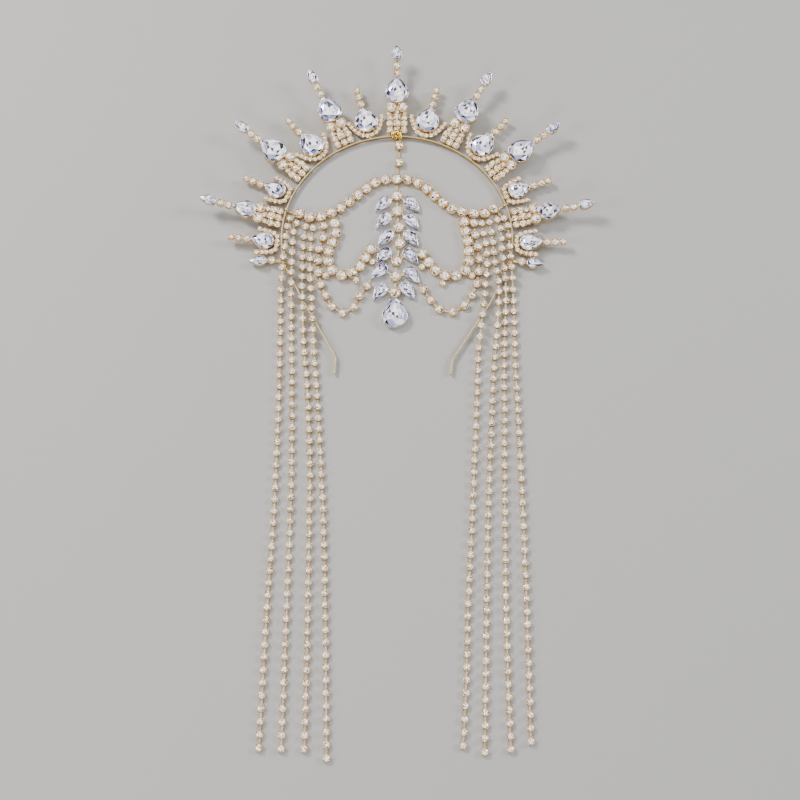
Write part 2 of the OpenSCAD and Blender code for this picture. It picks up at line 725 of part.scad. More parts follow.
// One long strand of closed cups on links, lifted where it crosses the strip
module strand(route, held_by) {
    places = strand_at(route);
    last = len(places) - 1;
    color("#e8cf94") {
        for (i = [0:last]) translate(lifted(places, i)) closed_cup(strand_d);
        for (i = [1:last])
            bar(lifted(places, i - 1) + [0, 0, link_z], lifted(places, i) + [0, 0, link_z], link_w, link_h);
        link(places[0], held_by, strand_d / 2, large_d / 2 + seat_gap + link_sunk);
    }
}

// The model, moved so that the box it fills is centred over the origin
module placed() {
    translate([shift_x, shift_y, 0]) children();
}

placed() headband();
for (s = SPIKES) placed() spike(s);
for (s = JEWELLED) placed() teardrop(s);
placed() spike_tip_stones();
placed() spike_round_stones();
placed() brow_chain();
placed() stones_at(brow_at, large_d);  // brow_stones
placed() cheek_chain(cheek_left_at, brow_at[3], leaf_place(LEAVES[3], -1), 1);  // cheek_chain_left
placed() cheek_chain(cheek_right_at, brow_at[17], leaf_place(LEAVES[3], 1), -1);  // cheek_chain_right
placed() stones_at(concat(cheek_left_at, cheek_right_at), large_d);  // cheek_stones
placed() swag_chain(swag_left_at, brow_at[2], leaf_tip(LEAVES[4], -1));  // swag_chain_left
placed() swag_chain(swag_right_at, brow_at[18], leaf_tip(LEAVES[4], 1));  // swag_chain_right
placed() stones_at(concat(swag_left_at, swag_right_at), swag_d);  // swag_stones
placed() upper_chain();
placed() centre_column();
placed() {  // column_stones
    stones_at(UPPER, upper_d);
    stones_at(COLUMN, large_d);
}
placed() leaf_stones(-1);  // leaf_stones_left
placed() leaf_stones(1);  // leaf_stones_right
placed() drop_stone();
for (i = [0:strand_n - 1])
    placed() strand(STRANDS_LEFT[i], brow_at[HELD_LEFT[i]]);
for (i = [0:strand_n - 1])
    placed() strand(STRANDS_RIGHT[i], brow_at[HELD_RIGHT[i]]);
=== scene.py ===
"""Looks of a rhinestone halo headband with face chains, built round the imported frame.

The frame's metal keeps its shape and gets gilt materials. Every stone is cut anew, with
a brilliant's facets, in the place that the frame gives it, and the cups get their claws.
"""

import math
import random

import bmesh
import bpy
from mathutils import Matrix, Vector


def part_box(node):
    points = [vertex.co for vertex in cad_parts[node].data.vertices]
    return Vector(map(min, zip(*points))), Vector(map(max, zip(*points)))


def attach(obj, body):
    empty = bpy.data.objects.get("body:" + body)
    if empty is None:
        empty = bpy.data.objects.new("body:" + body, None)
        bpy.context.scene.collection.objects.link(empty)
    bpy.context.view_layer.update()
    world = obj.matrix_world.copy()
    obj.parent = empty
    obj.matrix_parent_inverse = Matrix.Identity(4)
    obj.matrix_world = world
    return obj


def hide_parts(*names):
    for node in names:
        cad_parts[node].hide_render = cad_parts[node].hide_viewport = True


MM = 0.001
UP = Vector((0, 0, 1))
WHITE = (1, 1, 1)
BLACK = (0, 0, 0)

# The photograph's view, about 20 degrees off the vertical
CAMERA_AT = Vector((0.0015, -0.26645, 0.6926))
CAMERA_TO = Vector((0.0015, -0.01435, 0))
LENS = 60.3
SENSOR = 36
CLIP_START = 0.01

# Floor: half its side in metres, and how far it lies below the piece
FLOOR_HALF = 4
FLOOR_DROP = 0.02 * MM
FLOOR_COLOUR = (0.5, 0.49, 0.48, 1)
FLOOR_ROUGHNESS = 0.8

# Lights, all aimed at the origin: name, place, width, height, power and colour
LIGHTS = [
    ("key", (-0.8, 0.7, 0.95), 0.35, 0.35, 17, (1, 0.98, 0.95)),
    ("ceiling", (0, 0.4, 1.4), 1.6, 1.2, 7, (1, 0.98, 0.95)),
    ("fill", (1.1, 0.3, 0.7), 0.4, 0.4, 9, (0.95, 0.97, 1)),
    ("front", (-0.1, -1.1, 0.7), 0.6, 0.3, 6, WHITE),
    ("side", (-1.0, -0.3, 0.6), 0.3, 0.3, 4, (1, 0.97, 0.93)),
]
SKY_COLOUR = (0.85, 0.88, 0.95, 1)
SKY_STRENGTH = 0.22

# Scales of the noise in the materials, in cells to a metre
DRIFT_SCALE = 110
PATCH_SCALE = 260
GRAIN_SCALE = 1400
BUMP_SCALE = 2600

# Levels of noise between which the plating's patches and the glass's drift change, tones
# between which a facet's painted glint grows and at which the four colours of its painted
# reflection stand, and heights of a normal between which a wall's painted shade gives way to a top's
# colour
PATCH_STOPS = (0.36, 0.62)
DRIFT_STOPS = (0.4, 0.62)
PAINTED_GLINT_STOPS = (0.6, 1)
TONE_STOPS = (0.06, 0.25, 0.5, 0.82)
WALL_SHADE_STOPS = (0.35, 0.75)

# Relief and roughness of the plating
BUMP_STRENGTH = 0.25
BUMP_DEPTH = 0.04 * MM
BUMP_DETAIL = 4
GILT_ROUGHNESS = (0.12, 0.3)

# Cut glass, and the strength of the glow painted on its brightest facets as glints
GLASS_IOR = 1.6
GLASS_ROUGHNESS = 0.06
COAT_ROUGHNESS = 0.02
FOIL_METAL = 0.15
PAINTED_GLINT_GLOW = 1.3

# In the frame's meshes corners nearer than this are one, faces whose normals agree better
# than this lie in one plane, and a ring of corners rises less than this from one to the next
WELD = 0.002 * MM
ONE_PLANE = 0.99995
RING_STEP = 0.04 * MM

# A loose stone's girdle has this many corners or more
GIRDLE_CORNERS = 7

# Table of a closed cup in the frame: how much its normal points up at least, its fewest
# corners, its radii, its farthest corner against its nearest, how far its area may be off
# a regular polygon's, and its least distance from a loose stone
FACES_UP = 0.9
TABLE_CORNERS = 8
LEAST_TABLE_R = 0.62 * MM
MOST_TABLE_R = 1.6 * MM
OUT_OF_ROUND = 1.04
AREA_ERROR = 0.05
LOOSE_REACH = 1.2 * MM

# Proportions of the frame's closed cups: table to cup, and crown and rim
TABLE_SHARE = 0.55
CROWN_RISE = 0.16
RIM = 0.3 * MM

# The cut stone over a closed cup's crown: how much higher its girdle lies, how much taller
# it is, the share of the rim that it leaves free, and the scale of its nearly flat back
GIRDLE_RISE = 0.03 * MM
CROWN_GROWTH = 0.02 * MM
RIM_LEFT = 0.7
THIN_BACK = 0.1 * MM

# Height of a cup's wall in the frame: a fixed part and a share of the cup's radius
WALL_BASE = 0.7 * MM
WALL_SLOPE = 0.66

# From a loose round stone's girdle to the outside of its cup
SEAT = 0.4 * MM

# From a pear stone's girdle in the frame to the middle of its setting's edge, outwards
# and upwards, and the bead of metal on that edge
PEAR_EDGE = 0.42 * MM
GIRDLE_DEPTH = 0.2 * MM
BEAD_R = 0.2 * MM

# How far a cut pear stone reaches past the frame's girdle, to fill its setting, and how
# much higher its girdle lies
PEAR_GROWTH = 0.22 * MM
PEAR_LIFT = 0.22 * MM

# A cut pear stone's table lies this much below the frame's
TABLE_SUNK = 0.05 * MM

# The cut. Shares of the girdle: the table, the flat at the bottom, and how far the crown's
# middle ring lies past half way out to the girdle. The middle ring's height is a share of
# the crown's, and the mosaic's inner ring a share of the table.
CUT_TABLE = 0.6
MIDDLE_OUT = 0.02
MIDDLE_HEIGHT = 0.62
MOSAIC = 0.52
CULET = 0.25

# A round stone's crown and back for a girdle of radius 1, and its girdle's corners. The
# seed is that of all the stones' tones.
ROUND_CROWN = 0.42
ROUND_BACK = 0.7
ROUND_SIDES = 16
STONE_SEED = 11

# Tones of the facets by their kind, which paint the cut's reflections as dark and bright
# facets: the share of them that is dark, and the lowest tone of the others. The dark ones go up
# to this tone, and the others to 1.
DARK_TONE = 0.14
PAINTED_REFLECTION_TONES = {
    "girdle": (0.25, 0.25),
    "lower": (0.16, 0.35),
    "upper": (0.22, 0.3),
    "star": (0.12, 0.45),
    "mosaic_edge": (0.12, 0.4),
    "mosaic_ring": (0.12, 0.5),
    "mosaic_middle": (0, 0.7),
    "dark_reflection_edge": (0.7, 0.4),
    "dark_reflection_middle": (1, 0.7),
    "back": (0.1, 0.2),
    "culet": (0, 0.4),
}

# Tone of metal, whose materials don't use it
PLAIN_TONE = 0.5

# Rows of a claw's head in its own radii, rise, lean and radius, and the radius of its foot
CLAW_ROWS = [(0, 0, 1), (0.7, -0.4, 0.85), (1.1, -0.9, 0.4)]
CLAW_FOOT = 0.8
CLAW_SIDES = 6

# A claw is this much shorter than its cup's wall, and lies this share of its radius in it
CLAW_SHORT = 0.45 * MM
CLAW_IN = 0.1

# A claw's radius as a share of a loose stone's or a closed cup's, and how far the claws
# stand above a loose stone's girdle, as a share of its radius
LOOSE_CLAW = 0.2
CLOSED_CLAW = 0.22
CLAW_OVER = 0.1

# Stones whose places are nearer than this are the same one
SAME_STONE = 1.0 * MM

# Half the width of the centre column's gold cups, and the drop's setting above its stone
COLUMN_HALF = 4.4 * MM
DROP_SETTING = 1.0 * MM

# Outer radius of the arch, and where it ends in degrees from its top
ARCH_R = 66.6 * MM
ARCH_END = 106

# Points along a ring of wire, and corners of a thin wire's section and of the knot's
RING_POINTS = 16
WIRE_SIDES = 6
KNOT_SIDES = 8

# Wire knot at the top of the arch: its loops, their places and leans in degrees from the
# top, and their half sizes outwards and upwards in millimetres. Its middle lies outside
# the arch and above the strip's middle.
KNOT_SEED = 5
KNOT_LOOPS = 14
KNOT_PLACES = (-2.2, 2.4)
KNOT_LEANS = (-1.6, 1.6)
KNOT_REACHES = (2.2, 3.6)
KNOT_LIFTS = (1.4, 2.2)
KNOT_OUT = 1.1 * MM
KNOT_UP = 0.7 * MM
KNOT_WIRE_R = 0.32 * MM

# Wire round the legs' sleeves: its turns, the degrees from one to the next, half of a
# turn's width and height, and how far its middle lies inside the arch's outer radius. A
# lower power makes the turn squarer.
WRAP_TURNS = 6
WRAP_STEP = 0.5
WRAP_ACROSS = 1.15 * MM
WRAP_HEIGHT = 1.2 * MM
WRAP_IN = 0.35 * MM
WRAP_POWER = 0.5
WRAP_WIRE_R = 0.26 * MM

# Bead of solder at a spike's foot: half its size from the strip outwards, along the strip
# and upwards, the number of the spike's nearest corners that mark its foot, and the
# bead's rows and sides
SOLDER_OUT = 0.45 * MM
SOLDER_ALONG = 1.0 * MM
SOLDER_UP = 0.55 * MM
FOOT_CORNERS = 12
BEAD_ROWS = 5
BEAD_SIDES = 10

STRANDS = ["strand_%s_%d" % (side, k) for side in ("left", "right") for k in range(1, 5)]
CHEEKS = ["cheek_chain_left", "cheek_chain_right"]
CHAINS = ["brow_chain", *CHEEKS, "swag_chain_left", "swag_chain_right", "upper_chain"]


# Materials


def new_material(name):
    material = bpy.data.materials.new(name)
    material.use_nodes = True
    nodes = material.node_tree.nodes
    return material, nodes, material.node_tree.links, nodes["Principled BSDF"]


def ramp(nodes, stops, colours):
    node = nodes.new("ShaderNodeValToRGB")
    elements = node.color_ramp.elements
    while len(elements) < len(stops):
        elements.new(0.5)
    for element, position, colour in zip(elements, stops, colours):
        element.position = position
        element.color = (*colour, 1)
    return node


def noise(nodes, links, scale, detail=3):
    where = nodes.new("ShaderNodeTexCoord")
    node = nodes.new("ShaderNodeTexNoise")
    node.inputs["Scale"].default_value = scale
    node.inputs["Detail"].default_value = detail
    links.new(where.outputs["Object"], node.inputs["Vector"])
    return node


def multiplied(nodes, links, one, other):
    """Product of two colours."""
    node = nodes.new("ShaderNodeMix")
    node.data_type = "RGBA"
    node.blend_type = "MULTIPLY"
    node.inputs["Factor"].default_value = 1
    links.new(one.outputs["Color"], node.inputs["A"])
    links.new(other.outputs["Color"], node.inputs["B"])
    return node


def math_node(nodes, links, operation, *sources):
    """Result of a sum on sockets and plain numbers."""
    node = nodes.new("ShaderNodeMath")
    node.operation = operation
    for socket, source in zip(node.inputs, sources):
        if isinstance(source, float):
            socket.default_value = source
        else:
            links.new(source, socket)
    return node.outputs["Value"]


def grain(nodes, links, shader, rough):
    """Roughness that varies finely between two values."""
    spread = nodes.new("ShaderNodeMapRange")
    spread.inputs["To Min"].default_value = rough[0]
    spread.inputs["To Max"].default_value = rough[1]
    links.new(noise(nodes, links, GRAIN_SCALE).outputs["Fac"], spread.inputs["Value"])
    links.new(spread.outputs["Result"], shader.inputs["Roughness"])


def gilt(name, bright, worn, rough=GILT_ROUGHNESS, painted_wall_shade=WHITE):
    """Polished plating with slow changes of tone, a fine grain and a few rubbed places.
    Upright walls can get painted shade: a darker colour, by how little their normals point up."""
    material, nodes, links, shader = new_material(name)
    tones = ramp(nodes, PATCH_STOPS, (worn, bright))
    links.new(noise(nodes, links, PATCH_SCALE).outputs["Fac"], tones.inputs["Fac"])
    # Painted shade: upright walls take the darker wall colour, by how little their normals point up
    facing = nodes.new("ShaderNodeNewGeometry")
    parts = nodes.new("ShaderNodeSeparateXYZ")
    links.new(facing.outputs["Normal"], parts.inputs["Vector"])
    wall_shade = ramp(nodes, WALL_SHADE_STOPS, (painted_wall_shade, WHITE))
    links.new(parts.outputs["Z"], wall_shade.inputs["Fac"])
    links.new(multiplied(nodes, links, tones, wall_shade).outputs["Result"], shader.inputs["Base Color"])
    grain(nodes, links, shader, rough)
    bump = nodes.new("ShaderNodeBump")
    bump.inputs["Strength"].default_value = BUMP_STRENGTH
    bump.inputs["Distance"].default_value = BUMP_DEPTH
    links.new(noise(nodes, links, BUMP_SCALE, BUMP_DETAIL).outputs["Fac"], bump.inputs["Height"])
    links.new(bump.outputs["Normal"], shader.inputs["Normal"])
    shader.inputs["Metallic"].default_value = 1
    return material


def column_metal(name, gold, silver, rough):
    """Gold along the middle of the centre column, silver on its leaves and on its drop."""
    material, nodes, links, shader = new_material(name)
    where = nodes.new("ShaderNodeTexCoord")
    parts = nodes.new("ShaderNodeSeparateXYZ")
    links.new(where.outputs["Object"], parts.inputs["Vector"])
    away = math_node(nodes, links, "ABSOLUTE", parts.outputs["X"])
    leaf = math_node(nodes, links, "GREATER_THAN", away, COLUMN_HALF)
    drop_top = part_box("drop_stone")[1].y + DROP_SETTING
    drop = math_node(nodes, links, "LESS_THAN", parts.outputs["Y"], drop_top)
    colour = ramp(nodes, (0, 1), (gold, silver))
    links.new(math_node(nodes, links, "MAXIMUM", leaf, drop), colour.inputs["Fac"])
    links.new(colour.outputs["Color"], shader.inputs["Base Color"])
    shader.inputs["Metallic"].default_value = 1
    grain(nodes, links, shader, rough)
    return material


def crystal(name, dark, middle, light, white, tint):
    """Foil-backed cut glass: each facet has its own tone, which paints its reflection from dark
    to white, the brightest facets glow as painted glints, and the stones drift a little towards a tint
    from place to place."""
    material, nodes, links, shader = new_material(name)
    tone = nodes.new("ShaderNodeAttribute")
    tone.attribute_name = "tone"
    colours = ramp(nodes, TONE_STOPS, (dark, middle, light, white))
    links.new(tone.outputs["Fac"], colours.inputs["Fac"])
    drift = ramp(nodes, DRIFT_STOPS, (WHITE, tint))
    links.new(noise(nodes, links, DRIFT_SCALE).outputs["Fac"], drift.inputs["Fac"])
    links.new(multiplied(nodes, links, colours, drift).outputs["Result"], shader.inputs["Base Color"])
    # Painted glints: the brightest facets glow with the stone's white colour
    painted_glint = ramp(nodes, PAINTED_GLINT_STOPS, (BLACK, white))
    links.new(tone.outputs["Fac"], painted_glint.inputs["Fac"])
    links.new(painted_glint.outputs["Color"], shader.inputs["Emission Color"])
    shader.inputs["Emission Strength"].default_value = PAINTED_GLINT_GLOW
    shader.inputs["Metallic"].default_value = FOIL_METAL
    shader.inputs["Roughness"].default_value = GLASS_ROUGHNESS
    shader.inputs["IOR"].default_value = GLASS_IOR
    shader.inputs["Coat Weight"].default_value = 1
    shader.inputs["Coat Roughness"].default_value = COAT_ROUGHNESS
    shader.inputs["Coat IOR"].default_value = GLASS_IOR
    return material


# Reading the frame


def merged(node):
    """The node's mesh with its split corners joined again."""
    mesh = bmesh.new()
    mesh.from_mesh(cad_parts[node].data)
    bmesh.ops.remove_doubles(mesh, verts=mesh.verts, dist=WELD)
    mesh.normal_update()
    mesh.faces.ensure_lookup_table()
    return mesh


def flood(start, seen, joins):
    """Faces reached from one face over edges for which joins(face, other) is true."""
    found, waiting = [], [start]
    seen.add(start)
    while waiting:
        face = waiting.pop()
        found.append(face)
        for edge in face.edges:
            for other in edge.link_faces:
                if other not in seen and joins(face, other):
                    seen.add(other)
                    waiting.append(other)
    return found


def regions(faces, joins):
    """Groups of faces, each flooded from its first face."""
    seen, found = set(), []
    for face in faces:
        if face not in seen:
            found.append(flood(face, seen, joins))
    return found


def flat_regions(faces):
    """Connected faces that lie in one plane, as (area, middle, normal, corners)."""
    inside = set(faces)

    def joins(face, other):
        return other in inside and face.normal.dot(other.normal) > ONE_PLANE

    found = []
    for group in regions(faces, joins):
        area = sum(face.calc_area() for face in group)
        if area <= 0:
            continue
        middle = sum((face.calc_center_median() * face.calc_area() for face in group), Vector()) / area
        corners = {vert for face in group for vert in face.verts}
        found.append((area, middle, group[0].normal.copy(), [vert.co.copy() for vert in corners]))
    return found


def rings_of(corners, middle, normal):
    """Corners sorted into rings of one height each along the normal, from the lowest up."""
    found, last = [], None
    for height, co in sorted(((Vector(co) - middle).dot(normal), co) for co in corners):
        if last is None or height - last > RING_STEP:
            found.append([])
        found[-1].append(Vector(co))
        last = height
    return found


def stones_of(node):
    """Each loose stone of a node: middle of its table, normal, corners of its girdle and
    how far its back reaches below the girdle."""
    mesh = merged(node)
    found = []
    for island in regions(mesh.faces, lambda face, other: True):
        area, middle, normal, table = max(flat_regions(island), key=lambda region: region[0])
        if normal.z < 0:
            normal = -normal
        corners = {tuple(vert.co) for face in island for vert in face.verts}
        levels = rings_of(corners, middle, normal)
        girdle = max((ring for ring in levels if len(ring) >= GIRDLE_CORNERS),
                     key=lambda ring: sum((co - middle).length for co in ring) / len(ring))
        found.append((middle, normal, girdle, (girdle[0] - levels[0][0]).dot(normal)))
    mesh.free()
    return found


def is_table(area, reach):
    """Whether a flat region of this area, whose corners lie at these distances from its
    middle, is the table of a closed cup."""
    sides, radius = len(reach), max(reach)
    if sides < TABLE_CORNERS or radius > OUT_OF_ROUND * min(reach):
        return False
    if not LEAST_TABLE_R < radius < MOST_TABLE_R:
        return False
    polygon = sides / 2 * math.sin(math.tau / sides) * radius ** 2
    return abs(area / polygon - 1) <= AREA_ERROR


def closed_cups_of(node, taken):
    """Each closed cup of a node, as the middle of its table, its normal and its radius.
    A disc below one of the loose stones is the floor of an open cup."""
    mesh = merged(node)
    found = []
    for area, middle, normal, corners in flat_regions([f for f in mesh.faces if f.normal.z > FACES_UP]):
        reach = [(co - middle).length for co in corners]
        if not is_table(area, reach):
            continue
        if min(((middle - place).xy.length for place in taken), default=1) < LOOSE_REACH:
            continue
        found.append((middle, normal, max(reach) / TABLE_SHARE))
    mesh.free()
    return found


# Building meshes


class Builder:
    """Gathers polygons with a tone each, and makes one object of them."""

    def __init__(self):
        self.points = []
        self.faces = []
        self.tones = []

    def add(self, points, faces, tones=None):
        base = len(self.points)
        self.points += points
        self.faces += [[base + i for i in face] for face in faces]
        self.tones += tones or [PLAIN_TONE] * len(faces)

    def make(self, name, material, slot, smooth=False):
        mesh = bpy.data.meshes.new(name)
        mesh.from_pydata([tuple(p) for p in self.points], [], self.faces)
        tone = mesh.attributes.new("tone", "FLOAT", "FACE")
        tone.data.foreach_set("value", self.tones)
        if smooth:
            mesh.shade_smooth()
        mesh.materials.append(material)
        piece = bpy.data.objects.new(name, mesh)
        bpy.context.scene.collection.objects.link(piece)
        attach(piece, "root")
        return piece


def basis(normal, forward):
    """Matrix whose Z is the normal and whose X runs along forward in the plane."""
    x = (forward - normal * forward.dot(normal)).normalized()
    y = normal.cross(x)
    return Matrix((x, y, normal)).transposed()


def cut_outline(outline, middle, crown, back, draw, per=1):
    """Brilliant cut on an outline of 2n corners round a middle: points, faces and tones.
    The outline has per points for each corner. The crown's rings have 2n, n and n corners,
    in a zigzag, and the table is a mosaic whose middle is painted as a bright reflection with a dark
    painted reflection beside it. The tones paint the facets' reflections."""
    count = len(outline)
    n = count // (2 * per)
    rise = UP * crown

    def corner(k):
        return (k * per) % count

    def side(k):
        return [(k * per + i) % count for i in range(per + 1)]

    def ring(share, height, start):
        return [middle + (outline[corner(2 * i + start)] - middle) * share + rise * height
                for i in range(n)]

    points = [p.copy() for p in outline]
    points += ring(0.5 * (1 + CUT_TABLE) + MIDDLE_OUT, MIDDLE_HEIGHT, 1)
    points += ring(CUT_TABLE, 1, 0)
    points += ring(CUT_TABLE * MOSAIC, 1, 1)
    points += [middle + rise]
    points += [point - UP * back for point in ring(CULET, 0, 0)]
    mid, top, inner, peak, low = count, count + n, count + 2 * n, count + 3 * n, count + 3 * n + 1
    # Painted reflections: the table's middle facets are bright, save two beside the middle that are dark
    dark_reflection_at = draw.randrange(n)
    faces, tones = [], []

    def face(kind, corners):
        dark_share, lowest = PAINTED_REFLECTION_TONES[kind]
        faces.append(corners)
        tones.append(draw.uniform(0, DARK_TONE) if draw.random() < dark_share else draw.uniform(lowest, 1))

    for i in range(n):
        j = (i + 1) % n
        darkly_reflecting = i in (dark_reflection_at, (dark_reflection_at + 1) % n)
        face("girdle", side(2 * i) + [mid + i])
        face("girdle", side(2 * i + 1) + [mid + i])
        face("lower", [mid + i, corner(2 * i + 2), mid + j])
        face("upper", [mid + i, mid + j, top + j])
        face("star", [top + i, mid + i, top + j])
        face("dark_reflection_edge" if darkly_reflecting else "mosaic_edge", [top + i, top + j, inner + i])
        face("mosaic_ring", [inner + i, top + j, inner + j])
        face("dark_reflection_middle" if darkly_reflecting else "mosaic_middle", [inner + i, inner + j, peak])
        face("back", side(2 * i)[::-1] + [low + i])
        face("back", [corner(2 * i + 2)] + side(2 * i + 1)[-2::-1] + [low + j])
        face("back", [corner(2 * i + 1), low + i, low + j])
    face("culet", [low + i for i in range(n)][::-1])
    return points, faces, tones


def rounded(ring):
    """A closed ring of points with a point of a smooth curve set between each two."""
    n = len(ring)
    found = []
    for i, b in enumerate(ring):
        a, c, d = ring[i - 1], ring[(i + 1) % n], ring[(i + 2) % n]
        found += [b, (-a + 9 * b + 9 * c - d) / 16]
    return found


def pushed_out(outline, distance):
    """A flat closed ring of points, anticlockwise, moved outwards by a distance."""
    found = []
    for i, p in enumerate(outline):
        along = (outline[(i + 1) % len(outline)] - outline[i - 1]).normalized()
        found.append(p + along.cross(UP) * distance)
    return found


def round_cut(draw):
    """Round stone with a girdle of radius 1 at height 0."""
    angles = [math.tau * i / ROUND_SIDES for i in range(ROUND_SIDES)]
    outline = [Vector((math.cos(angle), math.sin(angle), 0)) for angle in angles]
    return cut_outline(outline, Vector(), ROUND_CROWN, ROUND_BACK, draw)


def add_round(builder, place, normal, forward, radius, draw):
    """One round stone, its girdle at the place."""
    turn = basis(normal, forward)
    points, faces, tones = round_cut(draw)
    builder.add([place + turn @ (p * radius) for p in points], faces, tones)


def tube_faces(rows, sides, closed=False):
    """Faces between rows of corners, with a flat face at each end unless the tube closes."""
    faces = []
    for row in range(rows if closed else rows - 1):
        a, b = row * sides, ((row + 1) % rows) * sides
        for k in range(sides):
            j = (k + 1) % sides
            faces.append([a + k, a + j, b + j, b + k])
    if not closed:
        faces.append([k for k in range(sides)][::-1])
        faces.append([(rows - 1) * sides + k for k in range(sides)])
    return faces


def add_claw(builder, place, normal, outward, height, radius):
    """A claw: a short rod with a rounded head that leans over the stone."""
    turn = basis(normal, outward)
    rows = [(-height, 0, CLAW_FOOT)] + [(rise * radius, lean, share) for rise, lean, share in CLAW_ROWS]
    points = []
    for rise, lean, share in rows:
        for i in range(CLAW_SIDES):
            angle = math.tau * i / CLAW_SIDES
            points.append(place + turn @ Vector((radius * (lean + share * math.cos(angle)),
                                                 radius * share * math.sin(angle), rise)))
    builder.add(points, tube_faces(len(rows), CLAW_SIDES))


def add_claws(builder, place, normal, forward, cup_radius, size):
    """Four claws at the corners of a round cup, on the diagonals of its chain. They run
    down its wall and give it a squarish look from above."""
    height = WALL_BASE + WALL_SLOPE * cup_radius - CLAW_SHORT
    for k in range(4):
        outward = Matrix.Rotation(math.radians(45 + 90 * k), 3, normal) @ forward
        outward = (outward - normal * outward.dot(normal)).normalized()
        add_claw(builder, place + outward * (cup_radius - CLAW_IN * size), normal, outward, height, size)


def add_ring(builder, path, radius, sides):
    """A wire along the points of a closed path."""
    points = []
    side = None
    for i, p in enumerate(path):
        along = (path[(i + 1) % len(path)] - path[i - 1]).normalized()
        if side is None:
            side = along.orthogonal().normalized()
        side = (side - along * side.dot(along)).normalized()
        across = along.cross(side)
        for k in range(sides):
            angle = math.tau * k / sides
            points.append(p + (side * math.cos(angle) + across * math.sin(angle)) * radius)
    builder.add(points, tube_faces(len(path), sides, closed=True))


def add_bead(builder, place, along, across, up):
    """A rounded bead round a place, with its three half sizes as vectors."""
    rows, sides = BEAD_ROWS, BEAD_SIDES
    points = [place + along]
    for row in range(1, rows):
        polar = math.pi * row / rows
        for k in range(sides):
            turn = math.tau * k / sides
            around = across * math.cos(turn) + up * math.sin(turn)
            points.append(place + along * math.cos(polar) + around * math.sin(polar))
    points.append(place - along)
    last = len(points) - 1
    faces = []
    for k in range(sides):
        j = (k + 1) % sides
        faces.append([0, 1 + j, 1 + k])
        for row in range(1, last - sides, sides):
            faces.append([row + k, row + j, row + sides + j, row + sides + k])
        faces.append([last - sides + k, last - sides + j, last])
    builder.add(points, faces)


# Dressing the frame


def nearest_way(place, others):
    """Direction from a place to the nearest other place."""
    near = min((other for other in others if (other - place).length > SAME_STONE),
               key=lambda other: (other - place).length, default=place + Vector((1, 0, 0)))
    return (near - place).normalized()


def dress_round(node, slot, material, metal, metal_slot, draw):
    """Cuts a node's round stones anew and gives their cups claws. Returns their places."""
    stones, claws = Builder(), Builder()
    found = stones_of(node)
    places = [middle for middle, normal, girdle, depth in found]
    for middle, normal, girdle, depth in found:
        drop = (middle - girdle[0]).dot(normal)
        centre = middle - normal * drop
        radius = max((co - centre).length for co in girdle)
        forward = nearest_way(middle, places)
        add_round(stones, centre, normal, forward, radius, draw)
        top = centre + normal * CLAW_OVER * radius
        add_claws(claws, top, normal, forward, radius + SEAT, LOOSE_CLAW * radius)
    piece = stones.make(node + "_cut", material, slot)
    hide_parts(node)
    claws.make(node + "_claws", metal, metal_slot, smooth=True)
    return places


def dress_pear(node, slot, material, rim, draw):
    """Cuts a node's pear stones anew, on the outline of each girdle, and runs a bead of
    metal round the top of each setting."""
    stones, beads = Builder(), Builder()
    for middle, normal, girdle, depth in stones_of(node):
        turn = basis(normal, Vector((1, 0, 0)))
        back = turn.transposed()
        height = (girdle[0] - middle).dot(normal)
        flat = sorted((back @ (co - middle) for co in girdle), key=lambda p: math.atan2(p.y, p.x))
        outline = rounded([Vector((p.x, p.y, height)) for p in flat])
        grown = [p + UP * PEAR_LIFT for p in pushed_out(outline, PEAR_GROWTH)]
        height += PEAR_LIFT
        crown = -height - TABLE_SUNK
        points, faces, tones = cut_outline(grown, UP * height, crown, depth, draw, 2)
        stones.add([middle + turn @ p for p in points], faces, tones)
        bead = [middle + turn @ (p + UP * GIRDLE_DEPTH) for p in pushed_out(outline, PEAR_EDGE)]
        add_ring(beads, bead, BEAD_R, WIRE_SIDES)
    piece = stones.make(node + "_cut", material, slot)
    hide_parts(node)
    beads.make(node + "_rim", rim, "pale_gilt_settings", smooth=True)


def dress_closed(nodes, name, taken, material, metal, metal_slot, draw):
    """Sets a cut stone over the crown of each closed cup, and claws round it."""
    stones, claws = Builder(), Builder()
    count = 0
    for node in nodes:
        found = closed_cups_of(node, taken)
        count += len(found)
        places = [middle for middle, normal, radius in found]
        for middle, normal, radius in found:
            crown = CROWN_RISE * 2 * radius
            centre = middle - normal * (crown - GIRDLE_RISE)
            forward = nearest_way(middle, places)
            turn = basis(normal, forward)
            girdle = radius - RIM_LEFT * RIM
            rise = (crown + CROWN_GROWTH) / ROUND_CROWN
            points, faces, tones = round_cut(draw)
            squeezed = [Vector((p.x * girdle, p.y * girdle, p.z * (rise if p.z > 0 else THIN_BACK)))
                        for p in points]
            stones.add([centre + turn @ p for p in squeezed], faces, tones)
            add_claws(claws, centre, normal, forward, radius, CLOSED_CLAW * radius)
    print(name, "closed cups:", count)
    stones.make(name + "_stones", material, "champagne_crystal")
    claws.make(name + "_claws", metal, metal_slot, smooth=True)


def paint(node, material):
    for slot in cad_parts[node].material_slots:
        slot.material = material


def arch_middle():
    """Middle of the arch, from the strip's box."""
    low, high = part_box("headband")
    return Vector(((low.x + high.x) / 2, high.y - ARCH_R, (low.z + high.z) / 2))


def ring_angles():
    return [math.tau * i / RING_POINTS for i in range(RING_POINTS)]


